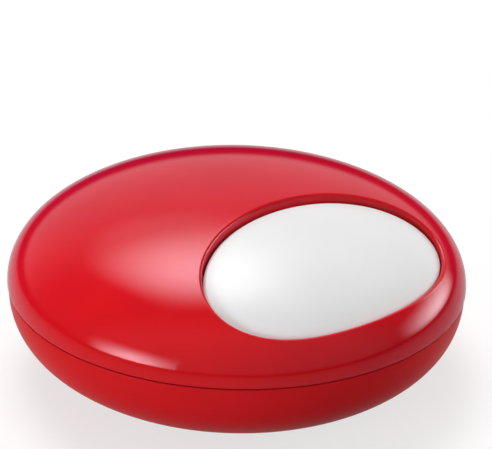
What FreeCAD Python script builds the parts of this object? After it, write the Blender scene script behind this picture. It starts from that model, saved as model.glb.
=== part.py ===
import FreeCAD, Part
import math
import os

from FreeCAD import Vector

# Round clamshell egg slicer: a glossy two-part case with an egg-shaped window in its lid.
#
# A white egg-shaped cap closes the window. Under it a harp of steel wires hangs in the lid, and a
# slotted cradle stands in the base. The lid swings on a pin at the back and carries the wires
# down through an egg, whose upper half stands out through the open window.
#
# Units are millimetres. +Z is up, -Y is the front, the hinge is at +Y and the floor is at z = 0.

# Case
CASE_RADIUS = 68.0
LID_HEIGHT = 29.3
LID_ROUNDNESS = (2.12, 2.10)
BASE_DEPTH = 27.0
BASE_CLOSING_DEPTH = 30.8
BASE_ROUNDNESS = (2.47, 2.41)
WALL = 2.5
SEAM_GAP = 0.5
LID_OVERHANG = 0.3
LIP_HEIGHT = 2.0
LIP_WALL = 1.2
LIP_CLEARANCE = 0.4

# Window in the lid, and the cap that closes it
WINDOW_LENGTH = 80.4
WINDOW_WIDTH = 46.9
EGG_POINTEDNESS = 0.015
WINDOW_FORWARD = 38.45
WINDOW_EDGE_ROUND = 0.8
COLLAR_WALL = 2.0
LEDGE_REACH = 1.5
LEDGE_THICKNESS = 1.5
CAP_RECESS = 2.3
CAP_WALL = 2.0
CAP_EDGE_ROUND = 1.2
CAP_SIDE_CLEARANCE = 0.35
CAP_SEAT_CLEARANCE = 0.4

# Harp and wires
HARP_OPENING_LENGTH = 76.0
HARP_OPENING_WIDTH = 46.5
HARP_SETBACK = 4.25
HARP_BAR = 4.0
HARP_THICKNESS = 5.0
HARP_ABOVE_DECK = 2.0
WIRE_COUNT = 11
WIRE_PITCH = 6.0
WIRE_RADIUS = 0.3
WIRE_ABOVE_HARP_FOOT = 2.0
WIRE_HOLE_CLEARANCE = 0.05
FERRULE_RADIUS = 0.9
FERRULE_LENGTH = 1.6
FERRULE_BORE_CLEARANCE = 0.02
FERRULE_POCKET_CLEARANCE = 0.1
LUG_RADIUS = 4.0
END_LUG_OUTSET = 2.5
REAR_LUG_X = 18.0
REAR_LUG_OUTSET = 2.8

# Cradle
EGG_LENGTH = 62.0
EGG_DIAMETER = 45.0
EGG_ABOVE_WIRES = 1.0
FIN_RISE = 7.0
FIN_CLEARANCE = 1.6
SLOT_WIDTH = 1.6
DECK_THICKNESS = 2.0
DECK_BELOW_SEAM = 2.5
DECK_EDGE_CLEARANCE = 0.3
DECK_POST_INSET = 8.0
DECK_POST_ANGLES = (-15.0, 50.0)

# Screws and their posts
POST_RADIUS = 3.4
SCREW_RADIUS = 1.1
SCREW_HEAD_RADIUS = 2.2
SCREW_HEAD_HEIGHT = 1.4
SCREW_BITE = 7.0
SCREW_CLEARANCE = 0.05
SCREW_TIP_CLEARANCE = 0.5
HEAD_CLEARANCE = 0.15

# Hinge
HINGE_INSET = 3.0
BARREL_RADIUS = 2.8
BARREL_CLEARANCE = 0.6
KNUCKLE_SIDE_GAP = 0.4
HINGE_END_GAP = 0.7
PIN_RADIUS = 1.25
PIN_RUNNING_CLEARANCE = 0.06
PIN_FIXED_CLEARANCE = 0.01
KNUCKLE_WEB_DEPTH = 4.2

# Feet
FOOT_RADIUS = 5.0
FOOT_THICKNESS = 2.0
FOOT_PROUD = 0.8
FOOT_RING_RADIUS = 33.0
FOOT_POCKET_CLEARANCE = 0.1

# Heights and places that follow from the sizes above
UNDERSIDE_Z = FOOT_PROUD
SEAM_Z = UNDERSIDE_Z + BASE_DEPTH
LID_Z = SEAM_Z + SEAM_GAP
BASE_RADIUS = CASE_RADIUS - LID_OVERHANG
LIP_OUTER = CASE_RADIUS - WALL - LIP_CLEARANCE
LIP_INNER = LIP_OUTER - LIP_WALL
DECK_TOP = SEAM_Z - DECK_BELOW_SEAM
DECK_BOTTOM = DECK_TOP - DECK_THICKNESS
DECK_RADIUS = LIP_INNER - DECK_EDGE_CLEARANCE
HARP_BOTTOM = DECK_TOP + HARP_ABOVE_DECK
HARP_TOP = HARP_BOTTOM + HARP_THICKNESS
HARP_Y = -(WINDOW_FORWARD - HARP_SETBACK)
WIRE_Z = HARP_BOTTOM + WIRE_ABOVE_HARP_FOOT
WIRE_XS = [(i - (WIRE_COUNT - 1) / 2) * WIRE_PITCH for i in range(WIRE_COUNT)]
EGG_AXIS_Z = WIRE_Z + EGG_ABOVE_WIRES + EGG_DIAMETER / 2
FIN_TOP = WIRE_Z + EGG_ABOVE_WIRES + FIN_RISE
LEDGE_TOP_DEPTH = CAP_RECESS + CAP_WALL + CAP_SEAT_CLEARANCE
LEDGE_BOTTOM_DEPTH = LEDGE_TOP_DEPTH + LEDGE_THICKNESS
HINGE_Y = CASE_RADIUS - HINGE_INSET
HINGE_Z = SEAM_Z + SEAM_GAP / 2
NOTCH_HALF = math.sqrt(CASE_RADIUS**2 - HINGE_Y**2) + BARREL_CLEARANCE
EAR_END = NOTCH_HALF - HINGE_END_GAP
KNUCKLE_HALF = EAR_END / 2
NOTCH_REACH = BARREL_RADIUS + BARREL_CLEARANCE
PIVOT_DECK_GAP = NOTCH_REACH + BARREL_CLEARANCE
FAR = 4 * CASE_RADIUS
CURVE_POINTS = 24
OUTLINE_POINTS = 40
OUTLINE_START = -1.165

UP = Vector(0, 0, 1)
ALONG_X = Vector(1, 0, 0)
ALONG_Y = Vector(0, 1, 0)


def box(x0, x1, y0, y1, z0, z1):
    """A box between two corners."""
    return Part.makeBox(x1 - x0, y1 - y0, z1 - z0, Vector(x0, y0, z0))


def post(x, y, z0, z1, radius):
    """An upright cylinder."""
    return Part.makeCylinder(radius, z1 - z0, Vector(x, y, z0), UP)


def rod(x, z, y0, y1, radius):
    """A cylinder along Y."""
    return Part.makeCylinder(radius, y1 - y0, Vector(x, y0, z), ALONG_Y)


def axle(x0, x1, radius):
    """A cylinder on the hinge axis."""
    return Part.makeCylinder(radius, x1 - x0, Vector(x0, HINGE_Y, HINGE_Z), ALONG_X)


def turned(radius, closing, depth, roundness, z, way):
    """A bowl (way -1) or dome (way +1) whose side is a superellipse, cut flat at depth."""
    n, m = roundness
    last = math.asin((depth / closing) ** (m / 2))
    points = []
    for i in range(CURVE_POINTS + 1):
        t = last * i / CURVE_POINTS
        side = radius * max(math.cos(t), 0.0) ** (2 / n)
        points.append(Vector(side, 0, z + way * closing * math.sin(t) ** (2 / m)))
    if depth >= closing:
        points[-1] = Vector(0, 0, z + way * closing)
    curve = Part.BSplineCurve()
    curve.interpolate(points)
    foot = Vector(0, 0, z)
    tip = Vector(0, 0, points[-1].z)
    edges = [Part.makeLine(foot, points[0]), curve.toShape()]
    if points[-1].x > 0:
        edges.append(Part.makeLine(points[-1], tip))
    edges.append(Part.makeLine(tip, foot))
    return Part.Face(Part.Wire(edges)).revolve(Vector(0, 0, 0), UP, 360)


def dome(inset=0.0, drop=0.0):
    """The solid under the lid's outer surface, drawn in by inset and lowered by drop."""
    height = LID_HEIGHT - inset
    return turned(CASE_RADIUS - inset, height, height, LID_ROUNDNESS, LID_Z - drop, 1)


def bowl(inset=0.0):
    """The solid inside the base's outer surface, drawn in by inset."""
    closing = BASE_CLOSING_DEPTH - inset
    return turned(BASE_RADIUS - inset, closing, BASE_DEPTH - inset, BASE_ROUNDNESS, SEAM_Z, -1)


def egg_point(length, width, centre_y, offset, t):
    """A point of an egg outline with its long axis along X, moved out square to it by offset."""
    k = EGG_POINTEDNESS
    x = length / 2 * math.cos(t)
    y = width / 2 * math.sin(t) * (1 - k * math.cos(t))
    slope_x = -length / 2 * math.sin(t)
    slope_y = width / 2 * (math.cos(t) - k * math.cos(2 * t))
    run = math.hypot(slope_x, slope_y)
    return x + offset * slope_y / run, centre_y + y - offset * slope_x / run


def egg_prism(length, width, centre_y, offset, z0, z1):
    """An upright prism on an egg outline."""
    points = []
    for i in range(OUTLINE_POINTS):
        t = OUTLINE_START + 2 * math.pi * i / OUTLINE_POINTS
        x, y = egg_point(length, width, centre_y, offset, t)
        points.append(Vector(x, y, z0))
    curve = Part.BSplineCurve()
    curve.interpolate(Points=points, PeriodicFlag=True)
    return Part.Face(Part.Wire(curve.toShape())).extrude(Vector(0, 0, z1 - z0))


def window_prism(offset, z0=LID_Z, z1=LID_Z + LID_HEIGHT + WALL):
    """A prism on the window's outline."""
    return egg_prism(WINDOW_LENGTH, WINDOW_WIDTH, -WINDOW_FORWARD, offset, z0, z1)


def harp_prism(offset, z0, z1):
    """A prism on the outline of the harp's opening."""
    return egg_prism(HARP_OPENING_LENGTH, HARP_OPENING_WIDTH, HARP_Y, offset, z0, z1)


def highest_rim(shape):
    """The highest closed edge that is long enough to run round the window."""
    rims = [edge for edge in shape.Edges if edge.Closed and edge.Length > WINDOW_LENGTH]
    return max(rims, key=lambda edge: edge.BoundBox.ZMax)


def harp_edges_y(x, offset):
    """Front and rear Y of the harp outline at x."""
    found = []
    for side in (-1, 1):
        low, high = 0.0, math.pi
        for _ in range(60):
            middle = (low + high) / 2
            at = egg_point(HARP_OPENING_LENGTH, HARP_OPENING_WIDTH, HARP_Y, offset, side * middle)
            if at[0] > x:
                low = middle
            else:
                high = middle
        found.append(at[1])
    return found


def harp_lugs():
    """Places of the four screw lugs round the harp."""
    end_x = HARP_OPENING_LENGTH / 2 + HARP_BAR + END_LUG_OUTSET
    rear_y = harp_edges_y(REAR_LUG_X, HARP_BAR)[1] + REAR_LUG_OUTSET
    return [(side * x, y) for side in (-1, 1) for x, y in ((end_x, HARP_Y), (REAR_LUG_X, rear_y))]


def deck_posts():
    """Places of the four screws that hold the cradle down."""
    ring = DECK_RADIUS - DECK_POST_INSET
    places = []
    for angle in DECK_POST_ANGLES:
        x = ring * math.cos(math.radians(angle))
        y = ring * math.sin(math.radians(angle))
        places += [(-x, y), (x, y)]
    return places


def screw(x, y, seat_z, way):
    """A round-head screw whose head stands on seat_z and whose shank points along way."""
    head = Part.makeCylinder(SCREW_HEAD_RADIUS, SCREW_HEAD_HEIGHT, Vector(x, y, seat_z), UP * -way)
    return head.fuse(Part.makeCylinder(SCREW_RADIUS, screw_length(way), Vector(x, y, seat_z), UP * way))


def screw_length(way):
    """Shank length: through the clamped piece and into its post."""
    clamped = DECK_THICKNESS if way < 0 else HARP_TOP - harp_screw_seat()
    return clamped + SCREW_BITE


def harp_screw_seat():
    """Height of the harp's screw seats, sunk in its lower face."""
    return HARP_BOTTOM + SCREW_HEAD_HEIGHT + HEAD_CLEARANCE


def pilot_hole(x, y, z0, z1):
    """The hole in a post that a screw cuts its thread in."""
    return post(x, y, z0, z1, SCREW_RADIUS + SCREW_CLEARANCE)


def knuckle(x0, x1, way):
    """A hinge barrel with a web that runs into its shell, up (way +1) or down (way -1)."""
    reach = NOTCH_REACH + WALL
    z0, z1 = sorted((HINGE_Z, HINGE_Z + way * reach))
    web = box(x0, x1, HINGE_Y - BARREL_RADIUS, HINGE_Y - BARREL_RADIUS + KNUCKLE_WEB_DEPTH, z0, z1)
    return axle(x0, x1, BARREL_RADIUS).fuse(web)


def hinge_notch(z0, z1):
    """The gap in a shell's rear wall that the knuckles fill."""
    return box(-NOTCH_HALF, NOTCH_HALF, HINGE_Y - NOTCH_REACH, FAR, z0, z1)


def foot_places():
    """Named places of the four feet."""
    reach = FOOT_RING_RADIUS * math.sqrt(0.5)
    names = {("front", "left"): (-1, -1), ("front", "right"): (1, -1)}
    names.update({("rear", "left"): (-1, 1), ("rear", "right"): (1, 1)})
    return {"foot_" + "_".join(k): (reach * sx, reach * sy) for k, (sx, sy) in names.items()}


def base_shell():
    """Lower half of the case, with its locating lip, cradle posts, foot pockets and hinge ears."""
    shell = bowl().cut(bowl(WALL))
    root = post(0, 0, SEAM_Z - WALL, SEAM_Z, BASE_RADIUS - WALL / 2)
    lip = root.fuse(post(0, 0, SEAM_Z - WALL, SEAM_Z + LIP_HEIGHT, LIP_OUTER))
    lip = lip.cut(post(0, 0, SEAM_Z - WALL, SEAM_Z + LIP_HEIGHT, LIP_INNER))
    shell = shell.fuse(lip)
    shell = shell.cut(hinge_notch(HINGE_Z - NOTCH_REACH, FAR))
    for x, y in deck_posts():
        shell = shell.fuse(post(x, y, UNDERSIDE_Z + WALL, DECK_BOTTOM, POST_RADIUS).common(bowl(WALL / 2)))
    for x, y in deck_posts():
        shell = shell.cut(pilot_hole(x, y, DECK_BOTTOM - SCREW_BITE - SCREW_TIP_CLEARANCE, DECK_BOTTOM))
    for x, y in foot_places().values():
        shell = shell.cut(post(x, y, 0, FOOT_THICKNESS, FOOT_RADIUS + FOOT_POCKET_CLEARANCE))
    for x0, x1 in ((-EAR_END, -KNUCKLE_HALF), (KNUCKLE_HALF, EAR_END)):
        shell = shell.fuse(knuckle(x0, x1, -1))
    return shell.cut(axle(-EAR_END, EAR_END, PIN_RADIUS + PIN_FIXED_CLEARANCE)).removeSplitter()


def lid_shell():
    """Upper half of the case: the window with its collar and ledge, harp posts and hinge knuckle."""
    outer = dome()
    skin = outer.cut(dome(WALL))
    skin = skin.cut(hinge_notch(LID_Z, HINGE_Z + NOTCH_REACH))
    collar = dome(drop=WALL / 2).cut(dome(drop=LEDGE_BOTTOM_DEPTH)).common(window_prism(COLLAR_WALL))
    lid = skin.fuse(collar)
    ledge = dome(drop=LEDGE_TOP_DEPTH).common(window_prism(0))
    opening = window_prism(0).cut(ledge).fuse(window_prism(-LEDGE_REACH))
    lid = lid.cut(opening)
    lid = lid.makeFillet(WINDOW_EDGE_ROUND, [highest_rim(lid)])
    for x, y in harp_lugs():
        lid = lid.fuse(post(x, y, HARP_TOP, LID_Z + LID_HEIGHT, POST_RADIUS).common(dome(WALL / 2)))
    for x, y in harp_lugs():
        lid = lid.cut(pilot_hole(x, y, HARP_TOP, HARP_TOP + SCREW_BITE + SCREW_TIP_CLEARANCE))
    half = KNUCKLE_HALF - KNUCKLE_SIDE_GAP
    lid = lid.fuse(knuckle(-half, half, 1))
    return lid.cut(axle(-half, half, PIN_RADIUS + PIN_RUNNING_CLEARANCE)).removeSplitter()


def egg_cap():
    """The white dome that drops into the window and rests on its ledge."""
    top = dome(drop=CAP_RECESS).common(window_prism(-CAP_SIDE_CLEARANCE))
    cap = top.cut(dome(drop=CAP_RECESS + CAP_WALL))
    return cap.makeFillet(CAP_EDGE_ROUND, [highest_rim(cap)])


def harp_frame():
    """Cast ring that holds the wires, with four lugs for its screws."""
    ring = harp_prism(HARP_BAR, HARP_BOTTOM, HARP_TOP)
    for x, y in harp_lugs():
        ring = ring.fuse(post(x, y, HARP_BOTTOM, HARP_TOP, LUG_RADIUS))
    ring = ring.cut(harp_prism(0, HARP_BOTTOM, HARP_TOP))
    for x, y in harp_lugs():
        ring = ring.cut(pilot_hole(x, y, HARP_BOTTOM, HARP_TOP))
        ring = ring.cut(post(x, y, HARP_BOTTOM, harp_screw_seat(), SCREW_HEAD_RADIUS + HEAD_CLEARANCE))
    for x in WIRE_XS:
        front, rear = ferrule_seats(x)
        pocket = FERRULE_RADIUS + FERRULE_POCKET_CLEARANCE
        ring = ring.cut(rod(x, WIRE_Z, front, rear, WIRE_RADIUS + WIRE_HOLE_CLEARANCE))
        ring = ring.cut(rod(x, WIRE_Z, front - FAR, front, pocket))
        ring = ring.cut(rod(x, WIRE_Z, rear, rear + FAR, pocket))
    return ring.removeSplitter()


def ferrule_seats(x):
    """Front and rear Y of the flat seats that a wire's two ferrules pull against."""
    front, rear = harp_edges_y(x, HARP_BAR)
    return front + FERRULE_LENGTH, rear - FERRULE_LENGTH


def cutting_wire(x):
    """One tensioned wire, with its ends inside their ferrules."""
    front, rear = ferrule_seats(x)
    return rod(x, WIRE_Z, front - FERRULE_LENGTH, rear + FERRULE_LENGTH, WIRE_RADIUS)


def wire_ferrules():
    """The crimped sleeves that anchor the wire ends."""
    sleeves = []
    for x in WIRE_XS:
        front, rear = ferrule_seats(x)
        for y0 in (front - FERRULE_LENGTH, rear):
            sleeve = rod(x, WIRE_Z, y0, y0 + FERRULE_LENGTH, FERRULE_RADIUS)
            bore = rod(x, WIRE_Z, y0, y0 + FERRULE_LENGTH, WIRE_RADIUS + FERRULE_BORE_CLEARANCE)
            sleeves.append(sleeve.cut(bore))
    return Part.Compound(sleeves)


def boiled_egg():
    """The egg that the cradle is hollowed for, lying along X."""
    centre = Vector(0, HARP_Y, EGG_AXIS_Z)
    ellipse = Part.Ellipse(centre, EGG_LENGTH / 2, EGG_DIAMETER / 2)
    arc = Part.ArcOfEllipse(ellipse, 0, math.pi).toShape()
    chord = Part.makeLine(arc.Vertexes[0].Point, arc.Vertexes[-1].Point)
    return Part.Face(Part.Wire([arc, chord])).revolve(centre, ALONG_X, 360)


def cradle():
    """Deck with slotted fins: an egg lies in the hollow and the wires pass between the fins."""
    deck = post(0, 0, DECK_BOTTOM, DECK_TOP, DECK_RADIUS)
    deck = deck.cut(box(-FAR, FAR, HINGE_Y - PIVOT_DECK_GAP, FAR, DECK_BOTTOM, DECK_TOP))
    for x, y in deck_posts():
        deck = deck.cut(post(x, y, DECK_BOTTOM, DECK_TOP, SCREW_RADIUS + SCREW_CLEARANCE))
    fins = harp_prism(-FIN_CLEARANCE, DECK_TOP, FIN_TOP).cut(boiled_egg())
    for x in WIRE_XS:
        slot = box(x - SLOT_WIDTH / 2, x + SLOT_WIDTH / 2, -FAR, FAR, DECK_TOP, FIN_TOP)
        fins = fins.cut(slot)
    return deck.fuse(fins).removeSplitter()


def main():
    nodes = {"base_shell": base_shell(), "lid_shell": lid_shell(), "egg_cap": egg_cap()}
    nodes["harp_frame"] = harp_frame()
    nodes["cradle"] = cradle()
    nodes["hinge_pin"] = axle(-EAR_END, EAR_END, PIN_RADIUS)
    nodes["wire_ferrules"] = wire_ferrules()
    nodes["cradle_screws"] = Part.Compound([screw(x, y, DECK_TOP, -1) for x, y in deck_posts()])
    nodes["harp_screws"] = Part.Compound([screw(x, y, harp_screw_seat(), 1) for x, y in harp_lugs()])
    for i, x in enumerate(WIRE_XS, 1):
        nodes[f"cutting_wire_{i:02d}"] = cutting_wire(x)
    for name, (x, y) in foot_places().items():
        nodes[name] = post(x, y, 0, FOOT_THICKNESS, FOOT_RADIUS)
    os.makedirs("parts", exist_ok=True)
    for name, shape in nodes.items():
        shape.exportStep(f"parts/{name}.step")
        size = shape.BoundBox
        print(f"{name:18s} solids {len(shape.Solids)} valid {shape.isValid()} volume {shape.Volume:9.1f}"
              f"  {size.XLength:6.1f} x {size.YLength:6.1f} x {size.ZLength:6.1f}")


main()
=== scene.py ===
import math

import bmesh
import bpy
import numpy as np
from mathutils import Matrix, Vector


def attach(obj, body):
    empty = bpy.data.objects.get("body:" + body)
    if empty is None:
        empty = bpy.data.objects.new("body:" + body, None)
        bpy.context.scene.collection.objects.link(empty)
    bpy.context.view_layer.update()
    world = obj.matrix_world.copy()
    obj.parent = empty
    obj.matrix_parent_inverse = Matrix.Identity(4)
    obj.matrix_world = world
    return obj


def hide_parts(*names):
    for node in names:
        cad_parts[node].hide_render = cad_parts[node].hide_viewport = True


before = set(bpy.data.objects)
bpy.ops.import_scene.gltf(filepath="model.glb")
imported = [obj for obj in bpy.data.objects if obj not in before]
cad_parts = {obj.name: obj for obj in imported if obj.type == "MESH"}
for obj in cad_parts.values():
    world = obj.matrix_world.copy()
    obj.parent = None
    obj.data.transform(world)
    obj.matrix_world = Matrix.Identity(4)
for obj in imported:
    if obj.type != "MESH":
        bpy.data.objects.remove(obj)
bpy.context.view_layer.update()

# Base shell: the lower half of the case, moulded in satin red plastic with a flat
# underside, pockets for four feet, a thin locating lip inside its rim, posts for
# the cradle's screws, and two ears that hold the hinge pin.
MM = 0.001
CASE_RADIUS = 68.0
WALL = 2.5
BASE_DEPTH = 27.0
BASE_CLOSING = 30.8
BOWL_SPREAD = 2.47
BOWL_FALL = 2.41
LID_OVERHANG = 0.3
BASE_RADIUS = CASE_RADIUS - LID_OVERHANG
UNDERSIDE_Z = 0.8
UNDERSIDE_RINGS = (12.0, 24.0, 36.0)
UNDERSIDE_EDGE = 1.2
UNDERSIDE_ROUND = 0.25
SEAM_Z = UNDERSIDE_Z + BASE_DEPTH
SEAM_GAP = 0.5
RIM_ROUND = 0.35
LIP_CLEARANCE = 0.4
LIP_WALL = 1.2
LIP_HEIGHT = 2.0
LIP_OUTER = CASE_RADIUS - WALL - LIP_CLEARANCE
LIP_INNER = LIP_OUTER - LIP_WALL
LIP_TOP = SEAM_Z + LIP_HEIGHT
LIP_ROUND = 0.3
HINGE_INSET = 3.0
HINGE_END_GAP = 0.7
HINGE_Y = CASE_RADIUS - HINGE_INSET
HINGE_Z = SEAM_Z + SEAM_GAP / 2
BARREL_RADIUS = 2.8
BARREL_CLEARANCE = 0.6
BARREL_CHAMFER = 0.25
WEB_DEPTH = 4.2
WEB_ROUND = 0.4
WEB_SHORT = 0.3
PIN_RADIUS = 1.25
PIN_FIXED_CLEARANCE = 0.01
PIN_RUNNING_CLEARANCE = 0.06
NOTCH_REACH = BARREL_RADIUS + BARREL_CLEARANCE
NOTCH_HALF = math.sqrt(CASE_RADIUS**2 - HINGE_Y**2) + BARREL_CLEARANCE
EAR_END = NOTCH_HALF - HINGE_END_GAP
POST_RADIUS = 3.4
POST_CHAMFER = 0.3
POST_SIDES = 40
SCREW_RADIUS = 1.1
SCREW_CLEARANCE = 0.05
SCREW_BITE = 7.0
SCREW_TIP_CLEARANCE = 0.5
PILOT_DEPTH = SCREW_BITE + SCREW_TIP_CLEARANCE
DECK_BELOW_SEAM = 2.5
DECK_THICKNESS = 2.0
DECK_EDGE_CLEARANCE = 0.3
DECK_SCREW_INSET = 8.0
DECK_TOP = SEAM_Z - DECK_BELOW_SEAM
DECK_BOTTOM = DECK_TOP - DECK_THICKNESS
DECK_RADIUS = LIP_INNER - DECK_EDGE_CLEARANCE
DECK_SCREW_RING = DECK_RADIUS - DECK_SCREW_INSET
DECK_SCREW_ANGLES = (-15, 50, 130, 195)
FOOT_RADIUS = 5.0
FOOT_HEIGHT = 2.0
FOOT_CLEARANCE = 0.1
FOOT_RING = 33.0
FOOT_ANGLES = (-135, -45, 45, 135)
FAR = 90.0
QUARTER = np.linspace(0, math.pi / 2, 6)


class Field:
    """One value of a node tree; sums and products of values add Math nodes."""

    def __init__(self, tree, socket):
        self.tree = tree
        self.socket = socket

    def node(self, kind, settings=None, sockets=None, output=0):
        """Any node: its settings first, then the values or links of its sockets."""
        made = self.tree.nodes.new(kind)
        for name, value in (settings or {}).items():
            if name == "stops":
                ramp = made.color_ramp.elements
                while len(ramp) < len(value):
                    ramp.new(0.5)
                for stop, (spot, colour) in zip(ramp, value):
                    stop.position = spot
                    stop.color = (*colour, 1.0)
            else:
                setattr(made, name, value)
        for name, value in (sockets or {}).items():
            if isinstance(value, Field):
                self.tree.links.new(value.socket, made.inputs[name])
            else:
                made.inputs[name].default_value = value
        return Field(self.tree, made.outputs[output])

    def maths(self, operation, other=0.0, swapped=False):
        values = (other, self) if swapped else (self, other)
        return self.node("ShaderNodeMath", {"operation": operation}, dict(enumerate(values)))

    def __add__(self, other):
        return self.maths("ADD", other)

    def __sub__(self, other):
        return self.maths("SUBTRACT", other)

    def __rsub__(self, other):
        return self.maths("SUBTRACT", other, swapped=True)

    def __mul__(self, other):
        return self.maths("MULTIPLY", other)

    def __truediv__(self, other):
        return self.maths("DIVIDE", other)

    def __rtruediv__(self, other):
        return self.maths("DIVIDE", other, swapped=True)

    def __lt__(self, other):
        return self.maths("LESS_THAN", other)

    def __gt__(self, other):
        return self.maths("GREATER_THAN", other)

    __radd__ = __add__
    __rmul__ = __mul__

    def noise(self, scale, detail=3.0):
        return self.node("ShaderNodeTexNoise", None, {"Vector": self, "Scale": scale, "Detail": detail})

    def stretched(self, x, y, z):
        return self.node("ShaderNodeMapping", None, {"Vector": self, "Scale": (x, y, z)})

    def mottled(self, scale, edge, dark, light):
        """Two shades that noise blends."""
        stops = (edge, dark), (1 - edge, light)
        return self.node("ShaderNodeValToRGB", {"stops": stops}, {"Fac": self.noise(scale)})

    def bump(self, strength, depth):
        return self.node("ShaderNodeBump", None, {"Strength": strength, "Distance": depth, "Height": self})

    def axes(self):
        return [self.node("ShaderNodeSeparateXYZ", None, {0: self}, output) for output in range(3)]

    def vector(self, x, y, z):
        return self.node("ShaderNodeCombineXYZ", None, {0: x, 1: y, 2: z})


def finish(name):
    """A new material: itself, its object coordinates, and a way to feed its shader's sockets."""
    material = bpy.data.materials.new(name)
    material.use_nodes = True
    tree = material.node_tree
    shader = tree.nodes["Principled BSDF"]
    coordinates = tree.nodes.new("ShaderNodeTexCoord")

    def feed(socket, value):
        if isinstance(value, Field):
            tree.links.new(value.socket, shader.inputs[socket])
        else:
            shader.inputs[socket].default_value = value

    return material, Field(tree, coordinates.outputs["Object"]), feed


def tidy_mesh(mesh, material, smooth=32.0):
    """Merges doubled points, turns faces outwards and smooths all but the sharp edges."""
    work = bmesh.new()
    work.from_mesh(mesh)
    bmesh.ops.remove_doubles(work, verts=work.verts, dist=1e-6)
    bmesh.ops.dissolve_degenerate(work, edges=work.edges, dist=1e-7)
    bmesh.ops.recalc_face_normals(work, faces=work.faces)
    work.to_mesh(mesh)
    work.free()
    mesh.shade_smooth()
    mesh.set_sharp_from_angle(angle=math.radians(smooth))
    mesh.materials.clear()
    mesh.materials.append(material)
    return mesh


def grid_mesh(name, rings, material, closed=False):
    """A mesh from equal rings of points in millimetres, joined in turn; open ends get a flat face."""
    rings = np.array(rings)
    count, around, _ = rings.shape
    faces = []
    for i in range(count if closed else count - 1):
        a, b = i * around, (i + 1) % count * around
        for j in range(around):
            k = (j + 1) % around
            faces.append((a + j, a + k, b + k, b + j))
    if not closed:
        faces.append(tuple(range(around))[::-1])
        faces.append(tuple(range((count - 1) * around, count * around)))
    mesh = bpy.data.meshes.new(name)
    mesh.from_pydata((rings.reshape(-1, 3) * MM).tolist(), [], faces)
    return tidy_mesh(mesh, material)


def circle_ring(radius, z, angles):
    """A level ring of points."""
    return np.stack([radius * np.cos(angles), radius * np.sin(angles), np.full_like(angles, z)], 1)


def turned_mesh(name, profile, foot, axis, material, closed=False, around=48):
    """A turned shape: profile gives (distance from foot along the axis, radius) in turn."""
    angles = np.linspace(0, 2 * math.pi, around, endpoint=False)
    along, side_a, side_b = np.roll(np.eye(3), -axis, axis=0)
    round_it = np.outer(np.cos(angles), side_a) + np.outer(np.sin(angles), side_b)
    rings = [np.array(foot) + run * along + radius * round_it for run, radius in profile]
    return grid_mesh(name, rings, material, closed)


def box_mesh(name, low, high, material, bevel=0.0):
    """A box between two corners, with rounded edges where bevel is given."""
    work = bmesh.new()
    bmesh.ops.create_cube(work, size=1.0)
    low, high = np.array(low) * MM, np.array(high) * MM
    for vert in work.verts:
        vert.co = (low + high) / 2 + np.array(vert.co) * (high - low)
    if bevel:
        bmesh.ops.bevel(work, geom=work.edges, offset=bevel * MM, segments=3, profile=0.5, affect="EDGES")
    mesh = bpy.data.meshes.new(name)
    work.to_mesh(mesh)
    work.free()
    return tidy_mesh(mesh, material)


def join(name, meshes):
    """One mesh with the faces of several, which it replaces."""
    work = bmesh.new()
    for mesh in meshes:
        work.from_mesh(mesh)
        bpy.data.meshes.remove(mesh)
    joined = bpy.data.meshes.new(name)
    work.to_mesh(joined)
    work.free()
    return joined


def place(mesh):
    """Puts a mesh in the scene as an object at the origin."""
    piece = bpy.data.objects.new(mesh.name, mesh)
    bpy.context.scene.collection.objects.link(piece)
    return piece


def discard(helper):
    """Takes a helper object and its mesh out of the file."""
    mesh = helper.data
    bpy.data.objects.remove(helper)
    bpy.data.meshes.remove(mesh)


def evaluated_mesh(maker, name):
    """What an object's modifiers make, as a plain mesh; the object goes."""
    made = bpy.data.meshes.new_from_object(maker.evaluated_get(bpy.context.evaluated_depsgraph_get()))
    maker.modifiers.clear()
    discard(maker)
    made.name = name
    return made


def combine(name, mesh, operation, others, material):
    """A mesh less (DIFFERENCE) or with (UNION) the other meshes."""
    target = place(mesh)
    tool = place(join("tool", others))
    modifier = target.modifiers.new("combine", "BOOLEAN")
    modifier.operation = operation
    modifier.solver = "EXACT"
    modifier.object = tool
    made = evaluated_mesh(target, name)
    discard(tool)
    return tidy_mesh(made, material)


def show(mesh, body, slot, *nodes):
    """Puts a finished piece in the scene on its body, in the place of its CAD nodes."""
    piece = place(mesh)
    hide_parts(*nodes)
    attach(piece, body)
    return piece


def polar(radius, angles):
    """Places on a circle round the middle of the case."""
    return [(radius * math.cos(math.radians(a)), radius * math.sin(math.radians(a))) for a in angles]


def bowl_z(points, inset):
    """Height of the bowl's side, drawn in by inset, under points in plan."""
    share = np.clip(np.hypot(*points.T) / (BASE_RADIUS - inset), 0, 1)
    return SEAM_Z - (BASE_CLOSING - inset) * (1 - share**BOWL_SPREAD) ** (1 / BOWL_FALL)


def bowl_side(inset, first, last, steps):
    """Radii and heights down the bowl's side between two depths below the seam."""
    closing = BASE_CLOSING - inset
    turn = np.linspace(*(np.arcsin((depth / closing) ** (BOWL_FALL / 2)) for depth in (first, last)), steps)
    radius = (BASE_RADIUS - inset) * np.cos(turn) ** (2 / BOWL_SPREAD)
    return list(zip(radius, SEAM_Z - closing * np.sin(turn) ** (2 / BOWL_FALL)))


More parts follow.
